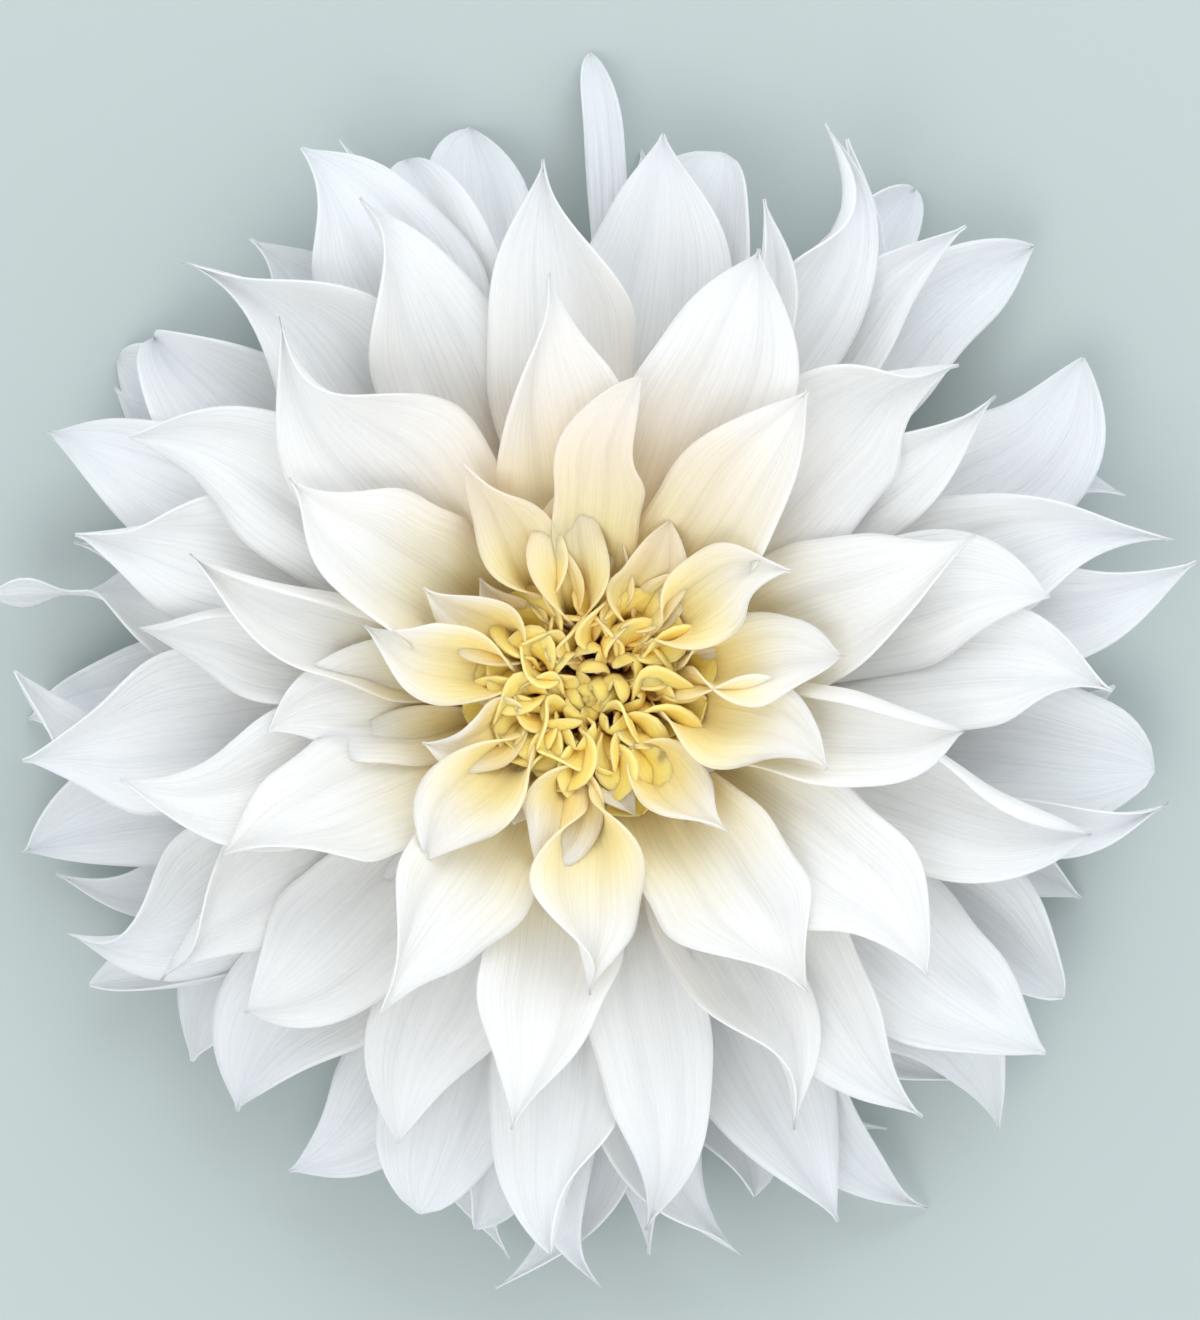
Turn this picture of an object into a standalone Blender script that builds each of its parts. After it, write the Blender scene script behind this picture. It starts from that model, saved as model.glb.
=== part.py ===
# Dahlia flower head, cut from its plant and lying face up on a flat surface.
#
# Every floret and bract is a thin blade that starts on a round receptacle. A blade is drawn flat out
# along +X, curled, lifted about the receptacle's centre and turned to its azimuth. The blades are laid
# from the back of the flower to its heart, and each is lifted until it clears the ones under it.

import math

import bmesh
import bpy
import numpy as np

MM = 0.001

# Driving dimensions, in metres.
HUB_RADIUS = 16.0 * MM
STEM_RADIUS = 4.6 * MM
BLADE_THICKNESS = 0.6 * MM
BRACT_THICKNESS = 0.8 * MM
GAP = 0.35 * MM
STACK_GAP = 0.4 * MM
CLAW_WIDTH = 3.6 * MM
TIP_WIDTH = 1.1 * MM
ROLLS = (0, 9, -9, 18, -18)
ROLL_COST = 0.05
HEART_REACH = 35.0 * MM
HEART_RADIUS = 16.5 * MM
HEART_CROWN = 5.0 * MM
HEART_DIP = 8.0 * MM
HEART_FURROW = 1.6 * MM
HEART_SPIRALS = 13
HEART_SEGMENTS = 52

# The raster that holds how high the laid blades stand: 1 mm by 1 degree, about the hub's centre.
CELL = 1.0 * MM
CELL_ROWS = 150
CELL_COLUMNS = 360

# Shape of the florets in each ring. Angles in degrees, from the floret's own root:
# seat is where it starts on the hub, rise and droop are the midrib's slope at root and tip,
# cup and tip_cup are half the angle that the blade's cross-section bends through,
# and waist is where the blade is widest.
RINGS = {
    "outer": {"seat": -9, "rise": 9, "droop": -13, "cup": 26, "tip_cup": 16, "waist": 0.60},
    "middle": {"seat": 1, "rise": 17, "droop": -17, "cup": 34, "tip_cup": 20, "waist": 0.60},
    "inner": {"seat": 15, "rise": 26, "droop": -20, "cup": 44, "tip_cup": 24, "waist": 0.60},
    "collar": {"seat": 33, "rise": 38, "droop": -22, "cup": 56, "tip_cup": 30, "waist": 0.62},
}

# The florets: azimuth in degrees, reach from the flower's axis to the tip and full width in millimetres.
FLORETS = {
    "outer": [
        (12, 120, 33), (45, 125, 31), (83, 113, 39), (117, 121, 35), (155, 118, 33), (196, 118, 33),
        (234, 112, 37), (273, 118, 33), (313, 119, 35), (350, 116, 35), (90, 128, 10), (28, 115, 35),
        (62, 120, 35), (103, 115, 35), (136, 114, 35), (172, 119, 31), (208, 113, 35), (262, 119, 31),
        (295, 115, 31), (323, 113, 33),
    ],
    "middle": [
        (11, 90, 33), (69, 90, 35), (129, 90, 39), (191, 91, 33), (247, 95, 33), (306, 104, 31),
        (41, 94, 35), (151, 99, 35), (223, 91, 35), (276, 106, 29), (342, 99, 33),
    ],
    "inner": [
        (22, 79, 30), (145, 69, 32), (260, 84, 32), (320, 83, 32), (54, 69, 28), (96, 79, 30),
        (187, 61, 28), (204, 76, 30), (237, 72, 30), (355, 71, 28), (306, 70, 30),
    ],
    "collar": [
        (8, 48, 22), (119, 49, 17), (226, 45, 22), (270, 57, 26), (162, 44, 20), (342, 47, 24),
        (65, 36, 16), (96, 39, 16), (197, 34, 17), (31, 44, 19),
    ],
}

OUTER_BRACTS = 5
FIRST_BRACT_AZIMUTH = 20
OUTER_BRACT = {"seat": -48, "rise": 28, "droop": 14, "cup": 30, "tip_cup": 20, "waist": 0.5}
OUTER_BRACT_SIZE = (33, 11)

UNDERSIDE_ANGLE = -52.0
NECK_LENGTH = 4.0 * MM
STEM_STEPS = 24

CUP_LOBES = 8
CUP_SEAT = -38
CUP_SLOPE = -14
CUP_REACH = 33.0 * MM
CUP_LOBE_DEPTH = 6.0 * MM

BLADE_ROWS = 8
BLADE_LANES = 4
CHECK_FINENESS = 5


def clear_scene():
    for existing in list(bpy.data.objects):
        bpy.data.objects.remove(existing, do_unlink=True)


def material(name, colour, roughness):
    made = bpy.data.materials.new(name)
    made.use_nodes = True
    shader = made.node_tree.nodes["Principled BSDF"]
    shader.inputs["Base Color"].default_value = (*colour, 1.0)
    shader.inputs["Roughness"].default_value = roughness
    shader.inputs["Metallic"].default_value = 0.0
    return made


def midrib(form, fraction):
    """Distance out and up along the midrib, per unit of its length, from the root."""
    steps = np.linspace(0.0, 1.0, 200)
    slope = np.radians(form["rise"] + (form["droop"] - form["rise"]) * steps)
    out = np.concatenate([[0.0], np.cumsum(np.cos((slope[1:] + slope[:-1]) / 2))]) / (len(steps) - 1)
    up = np.concatenate([[0.0], np.cumsum(np.sin((slope[1:] + slope[:-1]) / 2))]) / (len(steps) - 1)
    return (
        np.interp(fraction, steps, out),
        np.interp(fraction, steps, up),
        np.interp(fraction, steps, slope),
    )


def half_width(form, width, fraction):
    """Half of the blade's width: a narrow claw, a full middle and a pointed tip."""
    waist = form["waist"]
    swell = np.sin(np.clip(fraction / waist, 0.0, 1.0) * math.pi / 2) ** 1.1
    taper = 1.0 - np.clip((fraction - waist) / (1.0 - waist), 0.0, 1.0) ** 2.3
    shape = (CLAW_WIDTH + (width - CLAW_WIDTH) * swell) * taper
    return np.maximum(shape, TIP_WIDTH) / 2


def blade(form, reach, width, lift, roll):
    """Points of a blade's middle surface, along +X from the hub, before it is lifted."""
    fraction = np.linspace(0.0, 1.0, BLADE_ROWS + 1)[:, None]
    across = np.linspace(-1.0, 1.0, BLADE_LANES + 1)[None, :]
    out, up, slope = midrib(form, fraction)
    tip_out, tip_up, _ = midrib(form, np.array([1.0]))
    root = HUB_RADIUS + GAP + BLADE_THICKNESS / 2
    run = (reach - root * math.cos(lift)) / (tip_out[0] * math.cos(lift) - tip_up[0] * math.sin(lift))
    half = half_width(form, width, fraction)
    bend = np.radians(form["cup"] + (form["tip_cup"] - form["cup"]) * fraction)
    flat = half * np.sin(bend * across) / bend
    deep = half * (1.0 - np.cos(bend * across)) / bend
    side = flat * math.cos(roll) - deep * math.sin(roll)
    rise = flat * math.sin(roll) + deep * math.cos(roll)
    x = root + run * out - rise * np.sin(slope)
    z = run * up + rise * np.cos(slope)
    return np.stack([x, side + 0.0 * x, z], axis=-1)


def turned(points, azimuth, lift):
    """The same points lifted about the hub's centre and turned to their azimuth."""
    x = points[..., 0] * math.cos(lift) - points[..., 2] * math.sin(lift)
    z = points[..., 0] * math.sin(lift) + points[..., 2] * math.cos(lift)
    y = points[..., 1]
    return np.stack(
        [x * math.cos(azimuth) - y * math.sin(azimuth), x * math.sin(azimuth) + y * math.cos(azimuth), z],
        axis=-1,
    )


def refined(points, times):
    """The facets' own surface, sampled more finely along both directions."""
    for axis in (0, 1):
        count = points.shape[axis]
        place = np.linspace(0, count - 1, (count - 1) * times + 1)
        low = np.minimum(place.astype(int), count - 2)
        share = (place - low).reshape([-1 if a == axis else 1 for a in range(3)])
        points = np.take(points, low, axis) * (1 - share) + np.take(points, low + 1, axis) * share
    return points


def skins(points, thickness):
    """The upper and lower skins of a blade whose middle surface is given."""
    along = np.gradient(points, axis=0)
    over = np.gradient(points, axis=1)
    normal = np.cross(along, over)
    normal /= np.maximum(np.linalg.norm(normal, axis=-1, keepdims=True), 1e-12)
    return points + normal * thickness / 2, points - normal * thickness / 2


def polar(points):
    """Raster row, raster column, distance and elevation of each point, seen from the hub's centre."""
    flat = np.hypot(points[..., 0], points[..., 1])
    distance = np.hypot(flat, points[..., 2])
    elevation = np.arctan2(points[..., 2], flat)
    row = np.clip((distance / CELL).astype(int), 0, CELL_ROWS - 1)
    column = np.degrees(np.arctan2(points[..., 1], points[..., 0])).astype(int) % CELL_COLUMNS
    return row, column, distance, elevation


def widened(ceiling):
    """The raster with every cell raised to its highest neighbour, one row and two columns away."""
    spread = ceiling.copy()
    for shift in (-2, -1, 1, 2):
        spread = np.maximum(spread, np.roll(ceiling, shift, axis=1))
    grown = spread.copy()
    grown[1:] = np.maximum(grown[1:], spread[:-1])
    grown[:-1] = np.maximum(grown[:-1], spread[1:])
    return grown


def lifted(limit, form, reach, width, azimuth, thickness, roll):
    """Lift at which a rolled blade clears what is laid, with its upper and lower skins there."""
    lift = math.radians(form["seat"])
    for _ in range(12):
        shape = refined(blade(form, reach, width, lift, roll), CHECK_FINENESS)
        both = skins(turned(shape, azimuth, lift), thickness)
        short = 0.0
        for skin in both:
            row, column, distance, elevation = polar(skin)
            short = max(short, float(np.max(limit[row, column] + STACK_GAP / distance - elevation)))
        if short <= 0.0:
            break
        lift += short
    return lift, both


def mark(ceiling, skins_of_piece):
    """Raise the raster to the highest point of a laid piece in each cell."""
    for skin in skins_of_piece:
        row, column, _, elevation = polar(skin)
        np.maximum.at(ceiling, (row, column), elevation)


def settle(ceiling, form, reach, width, azimuth, thickness):
    """Roll a blade to the side on which it settles lowest, and add it to the raster."""
    limit = widened(ceiling)
    tries = []
    for roll in ROLLS:
        lift, both = lifted(limit, form, reach, width, azimuth, thickness, math.radians(roll))
        tries.append((lift + ROLL_COST * abs(math.radians(roll)), lift, roll, both))
    _, lift, roll, both = min(tries, key=lambda one: one[0])
    mark(ceiling, both)
    corners = np.concatenate([skin.reshape(-1, 3) for skin in both])
    return lift, math.radians(roll), corners.min(axis=0), corners.max(axis=0)


def finish(name, bm, finish_material, collection, parent):
    mesh = bpy.data.meshes.new(name)
    bmesh.ops.recalc_face_normals(bm, faces=bm.faces)
    bm.to_mesh(mesh)
    bm.free()
    mesh.materials.append(finish_material)
    mesh.shade_smooth()
    made = bpy.data.objects.new(name, mesh)
    collection.objects.link(made)
    made.parent = parent
    return made


def sheet(points):
    """A grid of faces whose vertices are moved to the given points."""
    rows, lanes = points.shape[0] - 1, points.shape[1] - 1
    bm = bmesh.new()
    bmesh.ops.create_grid(bm, x_segments=rows, y_segments=lanes, size=1.0)
    for vertex in bm.verts:
        row = round((vertex.co.x + 1.0) / 2 * rows)
        lane = round((vertex.co.y + 1.0) / 2 * lanes)
        vertex.co = points[row, lane]
    return bm


def thicken(made, thickness):
    shell = made.modifiers.new("thickness", "SOLIDIFY")
    shell.thickness = thickness
    shell.offset = 0.0


def make_blade(name, form, reach, width, azimuth, lift, roll, thickness, finish_material, collection, parent):
    made = finish(name, sheet(blade(form, reach, width, lift, roll)),
                  finish_material, collection, parent)
    made.rotation_euler = (0.0, -lift, azimuth)
    thicken(made, thickness)
    return made


def make_bract_cup(finish_material, collection, parent):
    """The inner bracts: a shallow cup round the back of the hub, whose rim is cut into lobes."""
    around = np.radians(np.linspace(0.0, 360.0, CUP_LOBES * 5 + 1))[None, :]
    fraction = np.linspace(0.0, 1.0, 5)[:, None]
    seat = math.radians(CUP_SEAT)
    root = HUB_RADIUS + GAP + BLADE_THICKNESS / 2
    rim = CUP_REACH - CUP_LOBE_DEPTH * (0.5 - 0.5 * np.cos(around * CUP_LOBES))
    out = root * math.cos(seat) + (rim - root * math.cos(seat)) * fraction
    up = root * math.sin(seat) + (out - root * math.cos(seat)) * math.tan(math.radians(CUP_SLOPE))
    points = np.stack([out * np.cos(around), out * np.sin(around), up + 0.0 * around], axis=-1)
    bm = sheet(points)
    bmesh.ops.remove_doubles(bm, verts=bm.verts, dist=0.00001)
    thicken(finish("inner_bract_cup", bm, finish_material, collection, parent), BLADE_THICKNESS)
    return skins(refined(points, CHECK_FINENESS * 2), BLADE_THICKNESS)


def heart_outline(ceiling):
    """Radius and height of the heart's outline, from its underside to the middle of its top."""
    inner = HUB_RADIUS + GAP
    rows = np.arange(int(inner / CELL), int(HEART_REACH / CELL) + 1)
    steepest = np.max(widened(ceiling)[rows], axis=1)
    side = np.maximum.accumulate(steepest[::-1])[::-1] + STACK_GAP / (rows * CELL)
    reach = np.concatenate([[inner], rows[2:] * CELL])
    angle = np.concatenate([[side[0]], side[2:]])
    under = np.linspace(math.pi / 2, angle[0], 5)[:-1]
    radius = np.concatenate([inner * np.cos(under), np.minimum(reach * np.cos(angle), HEART_RADIUS)])
    height = np.concatenate([inner * np.sin(under), reach * np.sin(angle)])
    crown = np.linspace(0.0, 1.0, 8)[1:]
    top = HEART_CROWN * np.sin(crown * math.pi / 2) - HEART_DIP * crown ** 3
    radius = np.concatenate([radius, radius[-1] * (1.0 - crown)])
    height = np.concatenate([height, height[-1] + top])
    return radius, height


def make_heart(ceiling, finish_material, collection, parent):
    """The young florets at the middle, packed in spirals, as one closed head."""
    radius, height = heart_outline(ceiling)
    length = np.concatenate([[0.0], np.cumsum(np.hypot(np.diff(radius), np.diff(height)))])
    length /= length[-1]
    bm = bmesh.new()
    bmesh.ops.create_uvsphere(bm, u_segments=HEART_SEGMENTS, v_segments=20, radius=1.0)
    for vertex in bm.verts:
        place = 1.0 - math.acos(max(-1.0, min(1.0, vertex.co.z))) / math.pi
        around = math.atan2(vertex.co.y, vertex.co.x)
        reach = float(np.interp(place, length, radius))
        rise = float(np.interp(place, length, height))
        crest = max(0.0, place - 0.5) / 0.5
        ridge = 0.5 - 0.5 * math.cos(HEART_SPIRALS * around + 12.0 * place)
        reach *= 1.0 - 0.16 * crest * ridge
        rise -= HEART_FURROW * crest * ridge
        vertex.co = (reach * math.cos(around), reach * math.sin(around), rise)
    return finish("heart_florets", bm, finish_material, collection, parent)


def make_stem(height, finish_material, collection, parent):
    """Cut stem that swells into the receptacle, as one turned outline from top to bottom."""
    sweep = np.radians(np.linspace(90.0, UNDERSIDE_ANGLE, 13))
    outline = [(HUB_RADIUS * math.cos(angle), HUB_RADIUS * math.sin(angle)) for angle in sweep]
    outline[0] = (0.0, HUB_RADIUS)
    neck_radius, neck_height = outline[-1]
    for share in (0.3, 0.65, 1.0):
        ease = 1.0 - (1.0 - share) ** 2
        radius = neck_radius + (STEM_RADIUS - neck_radius) * ease
        outline.append((radius, neck_height - share * NECK_LENGTH))
    outline.append((STEM_RADIUS, -height))
    outline.append((0.0, -height))
    bm = bmesh.new()
    points = [bm.verts.new((radius, 0.0, z)) for radius, z in outline]
    for start, end in zip(points, points[1:]):
        bm.edges.new((start, end))
    mesh = bpy.data.meshes.new("stem_with_receptacle")
    bm.to_mesh(mesh)
    bm.free()
    mesh.materials.append(finish_material)
    made = bpy.data.objects.new("stem_with_receptacle", mesh)
    collection.objects.link(made)
    made.parent = parent
    lathe = made.modifiers.new("turned", "SCREW")
    lathe.axis = "Z"
    lathe.angle = 2 * math.pi
    lathe.steps = STEM_STEPS
    lathe.render_steps = STEM_STEPS
    lathe.use_merge_vertices = True
    lathe.merge_threshold = 0.00001
    return made


def main():
    clear_scene()
    collection = bpy.data.collections.new("dahlia_flower")
    bpy.context.scene.collection.children.link(collection)
    white = material("floret_white", (0.86, 0.87, 0.88), 0.55)
    cream = material("floret_cream", (0.90, 0.84, 0.62), 0.55)
    gold = material("floret_gold", (0.86, 0.66, 0.26), 0.55)
    green = material("stem_green", (0.24, 0.36, 0.13), 0.60)
    leaf = material("bract_green", (0.36, 0.48, 0.20), 0.60)
    tones = {"outer": white, "middle": white, "inner": white, "collar": cream}

    centre = bpy.data.objects.new("flower_centre", None)
    collection.objects.link(centre)
    ceiling = np.full((CELL_ROWS, CELL_COLUMNS), -math.pi / 2)
    lows = []
    highs = []

    bract_reach, bract_width = (value * MM for value in OUTER_BRACT_SIZE)
    for number in range(OUTER_BRACTS):
        azimuth = math.radians(FIRST_BRACT_AZIMUTH + number * 360 / OUTER_BRACTS)
        lift, roll, low, high = settle(
            ceiling, OUTER_BRACT, bract_reach, bract_width, azimuth, BRACT_THICKNESS
        )
        make_blade(f"outer_bract_{number + 1}", OUTER_BRACT, bract_reach, bract_width, azimuth, lift, roll,
                   BRACT_THICKNESS, leaf, collection, centre)
        lows.append(low)
        highs.append(high)

    mark(ceiling, make_bract_cup(leaf, collection, centre))

    for ring, florets in FLORETS.items():
        for number, (degrees, reach_mm, width_mm) in enumerate(florets, start=1):
            azimuth = math.radians(degrees)
            reach = reach_mm * MM
            width = width_mm * MM
            lift, roll, low, high = settle(ceiling, RINGS[ring], reach, width, azimuth, BLADE_THICKNESS)
            make_blade(f"{ring}_petal_{number:02d}", RINGS[ring], reach, width, azimuth, lift, roll,
                       BLADE_THICKNESS, tones[ring], collection, centre)
            lows.append(low)
            highs.append(high)

    make_heart(ceiling, gold, collection, centre)
    low = np.min(lows, axis=0)
    high = np.max(highs, axis=0)
    centre.location = (-(low[0] + high[0]) / 2, -(low[1] + high[1]) / 2, -low[2])
    make_stem(-low[2], green, collection, centre)


main()
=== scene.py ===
import math

import bpy
import mathutils
import numpy as np
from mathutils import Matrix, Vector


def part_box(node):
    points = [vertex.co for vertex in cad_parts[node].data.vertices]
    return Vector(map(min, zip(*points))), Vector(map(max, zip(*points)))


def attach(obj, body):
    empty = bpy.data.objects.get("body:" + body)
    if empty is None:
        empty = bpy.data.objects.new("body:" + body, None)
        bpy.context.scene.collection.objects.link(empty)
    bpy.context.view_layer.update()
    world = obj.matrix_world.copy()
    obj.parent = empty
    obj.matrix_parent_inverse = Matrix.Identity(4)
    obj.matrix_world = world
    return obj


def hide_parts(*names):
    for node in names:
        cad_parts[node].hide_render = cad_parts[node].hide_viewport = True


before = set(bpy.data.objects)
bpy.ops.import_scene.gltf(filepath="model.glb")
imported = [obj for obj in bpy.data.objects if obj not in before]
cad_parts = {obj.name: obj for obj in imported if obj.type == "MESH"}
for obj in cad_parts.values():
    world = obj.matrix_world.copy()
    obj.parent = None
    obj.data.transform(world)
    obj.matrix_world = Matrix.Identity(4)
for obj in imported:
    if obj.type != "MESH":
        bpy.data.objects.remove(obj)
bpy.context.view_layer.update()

# A large white dahlia lying face up. Every petal is one thin blade grown from the receptacle: drawn out
# along +X, curled and rolled, lifted about the receptacle's middle, and turned to its own direction.
# They are laid from the back of the flower to its heart, each one lifted clear of those under it.

mm = 0.001

stemLow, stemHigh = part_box("stem_with_receptacle")
hubRadius = (stemHigh[0] - stemLow[0]) / 2
hubCentre = np.array([(stemLow[0] + stemHigh[0]) / 2, (stemLow[1] + stemHigh[1]) / 2,
                      stemHigh[2] - hubRadius])
print("hub at", [round(v / mm, 1) for v in hubCentre], "radius", round(hubRadius / mm, 1))

# Lengths in mm. ownStep sets the petals' veins apart in the noise.
petalMake = {"rows": 54, "lanes": 27, "thickness": 0.40, "gap": 0.35, "clawWidth": 3.4, "tipWidth": 0.7,
             "ownStep": 3.7}


def smooth(low, high, x):
    # Smoothstep: 0 below low, 1 above high, and 3k^2 - 2k^3 between.
    k = np.clip((x - low) / (high - low), 0.0, 1.0)
    return k * k * (3.0 - 2.0 * k)


def runningSum(values, axis):
    # Trapezoid sums along one axis, starting at zero.
    first = np.take(values, range(0, values.shape[axis] - 1), axis)
    second = np.take(values, range(1, values.shape[axis]), axis)
    total = np.cumsum((first + second) / 2, axis=axis)
    return np.concatenate([np.zeros_like(np.take(total, [0], axis)), total], axis=axis)


def petalSurface(p, lift, roll, rows, lanes):
    # Middle surface of a blade. t runs from root to tip and u from one margin to the other. The midrib is
    # the running sum of its direction: slope turns from rise to droop and curls at the tip, heading turns
    # by twice the sweep and hooks at the tip. Each cross-section is the running sum of its own tilt: cup
    # times u, margins that flare back, ruffles, and a fold at the midrib near the tip.
    t = np.linspace(0.0, 1.0, rows)[:, None]
    u = np.linspace(-1.0, 1.0, lanes)[None, :]
    slope = p["rise"] + (p["droop"] - p["rise"]) * t ** p["bend"] + p["curl"] * smooth(0.70, 1.0, t)
    slope = np.radians(slope + p["sway"] * np.sin(2 * math.pi * (t * 0.9 + p["phase"])))
    heading = -np.radians(2 * p["sweep"] * t + p["hook"] * smooth(0.62, 1.0, t))
    out = runningSum(np.cos(slope) * np.cos(heading), 0) / (rows - 1)
    side = runningSum(np.cos(slope) * np.sin(heading), 0) / (rows - 1)
    up = runningSum(np.sin(slope), 0) / (rows - 1)

    root = hubRadius + petalMake["gap"] * mm
    ahead = out[-1, 0] * math.cos(lift) - up[-1, 0] * math.sin(lift)
    across = side[-1, 0]
    start = root * math.cos(lift)
    if p["length"]:
        run = p["length"] * mm
    else:
        # The root of (start + run ahead)^2 + (run across)^2 = reach^2.
        a = ahead ** 2 + across ** 2
        short = start ** 2 - (p["reach"] * mm) ** 2
        run = (math.sqrt((start * ahead) ** 2 - a * short) - start * ahead) / a
    lean = math.atan2(run * across, start + run * ahead)

    waist = p["waist"] + p["skew"] * np.sign(u)
    swell = np.sin(np.clip(t / waist, 0, 1) * math.pi / 2) ** p["swell"]
    q = np.clip((t - waist) / (1 - waist), 0, 1)
    taper = (1 - q ** p["full"]) ** p["point"]
    half = np.maximum((petalMake["clawWidth"] + (p["width"] - petalMake["clawWidth"]) * swell) * taper,
                      petalMake["tipWidth"]) * mm / 2

    opened = smooth(p["openFrom"], p["openTo"], t)
    cup = p["rootCup"] + (p["cup"] - p["rootCup"]) * opened + (p["tipCup"] - p["cup"]) * smooth(0.6, 1.0, t)
    keel = p["keel"] * smooth(0.5, 1.0, t)
    edge = smooth(0.40, 1.0, np.abs(u)) * np.sign(u)
    tilt = cup * ((1 - keel) * u + keel * np.tanh(4 * u))
    flared = smooth(p["flareFrom"], p["flareTo"], t) * (1 - 0.6 * smooth(0.75, 1.0, t))
    tilt = tilt - p["flare"] * edge * flared
    tilt = tilt + p["leftEdge"] * smooth(0.3, 1.0, u) * smooth(0.1, 0.5, t)
    tilt = tilt - p["rightEdge"] * smooth(0.3, 1.0, -u) * smooth(0.1, 0.5, t)
    ruffle = np.sin(2 * math.pi * (p["waves"] * t + p["phase"] + 0.21 * np.sign(u)))
    tilt = tilt + p["ruffle"] * ruffle * smooth(0.2, 0.9, np.abs(u)) * smooth(0.15, 0.45, t)
    tilt = np.radians(tilt)
    flat = runningSum(np.cos(tilt), 1) / (lanes - 1) * 2
    deep = runningSum(np.sin(tilt), 1) / (lanes - 1) * 2
    middle = (lanes - 1) // 2
    half = half * (1 - p["pinch"] * np.exp(-((t - 0.85) / 0.06) ** 2))
    scallop = np.sin(2 * math.pi * (1.7 * p["waves"] * t + 2.3 * p["phase"] + 0.3 * np.sign(u)))
    lopsided = p["lean"] * np.sign(u) * smooth(0.2, 0.6, t)
    half = half * (1 + lopsided + p["scallop"] * scallop * smooth(0.3, 0.6, t))
    flat = (flat - flat[:, middle:middle + 1]) * half
    deep = (deep - deep[:, middle:middle + 1]) * half
    groove = np.exp(-((np.abs(u) - 0.30) / 0.10) ** 2) + 0.6 * np.exp(-((np.abs(u) - 0.62) / 0.09) ** 2)
    groove = groove - 0.7 * np.exp(-(u / 0.08) ** 2)
    deep = deep - p["groove"] * mm * groove * smooth(0.05, 0.3, t) * (1 - smooth(0.7, 0.95, t))

    turn = roll + np.radians(p["twist"]) * smooth(0.5, 1.0, t)
    wide = flat * np.cos(turn) - deep * np.sin(turn)
    tall = flat * np.sin(turn) + deep * np.cos(turn)
    x = root + run * out - wide * np.sin(heading) - tall * np.sin(slope) * np.cos(heading)
    y = run * side + wide * np.cos(heading) - tall * np.sin(slope) * np.sin(heading)
    z = run * up + tall * np.cos(slope)

    azimuth = math.radians(p["azimuth"]) - lean
    farX = x * math.cos(lift) - z * math.sin(lift)
    high = x * math.sin(lift) + z * math.cos(lift)
    return np.stack([farX * math.cos(azimuth) - y * math.sin(azimuth),
                     farX * math.sin(azimuth) + y * math.cos(azimuth), high], axis=-1)


# The raster of laid petals: how high they stand, as an elevation from the hub's middle, in rings of one cell
# by rays of one degree. Lengths in mm, rolls in degrees; rollCost is the lift that a full turn may save.
layMake = {"cell": 1.0, "rings": 170, "clearance": 0.25, "rolls": (0, 8, -8, 16, -16), "rollCost": 0.06,
           "rows": 40, "lanes": 21}
laid = np.full((layMake["rings"], 360), -math.pi / 2)


def polar(points):
    # Ring and ray of the raster, distance and elevation of each point, seen from the hub's middle.
    flat = np.hypot(points[..., 0], points[..., 1])
    distance = np.hypot(flat, points[..., 2])
    ring = np.clip((distance / (layMake["cell"] * mm)).astype(int), 0, layMake["rings"] - 1)
    ray = np.floor(np.degrees(np.arctan2(points[..., 1], points[..., 0]))).astype(int) % 360
    return ring, ray, distance, np.arctan2(points[..., 2], flat)


def widened():
    # Each cell takes the highest of its neighbours, one ring and one ray away.
    spread = np.maximum(np.maximum(laid, np.roll(laid, 1, axis=1)), np.roll(laid, -1, axis=1))
    grown = spread.copy()
    grown[1:] = np.maximum(grown[1:], spread[:-1])
    grown[:-1] = np.maximum(grown[:-1], spread[1:])
    return grown


def lay(p):
    # Tries each roll, lifts the blade until it clears what is laid beyond the crowd of claws, and keeps
    # the lowest. A blade with a lift of its own stands where it is told.
    best = None
    if p["lift"] is not None:
        roll = math.radians(p["roll"] or 0)
        best = (0, math.radians(p["lift"]), roll,
                petalSurface(p, math.radians(p["lift"]), roll, layMake["rows"], layMake["lanes"]))
    else:
        limit = widened()
        thick = petalMake["thickness"] * mm
        for roll in layMake["rolls"] if p["roll"] is None else (p["roll"],):
            lift = math.radians(p["seat"])
            for _ in range(10):
                skin = petalSurface(p, lift, math.radians(roll), layMake["rows"], layMake["lanes"])
                ring, ray, distance, angle = polar(skin)
                need = limit[ring, ray] + (layMake["clearance"] * mm + thick) / distance - angle
                need = np.where(distance > p["layFrom"] * mm, need, -1.0)
                ground = np.arcsin(np.clip((thick - hubCentre[2]) / distance, -1.0, 1.0)) - angle
                need = float(np.max(np.maximum(need, ground)))
                if need <= 0.0:
                    break
                lift += need
            cost = lift + layMake["rollCost"] * abs(math.radians(roll))
            if best is None or cost < best[0]:
                best = (cost, lift, math.radians(roll), skin)
    _, lift, roll, skin = best
    ring, ray, _, angle = polar(skin)
    np.maximum.at(laid, (ring, ray), angle)
    return lift, roll


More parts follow.
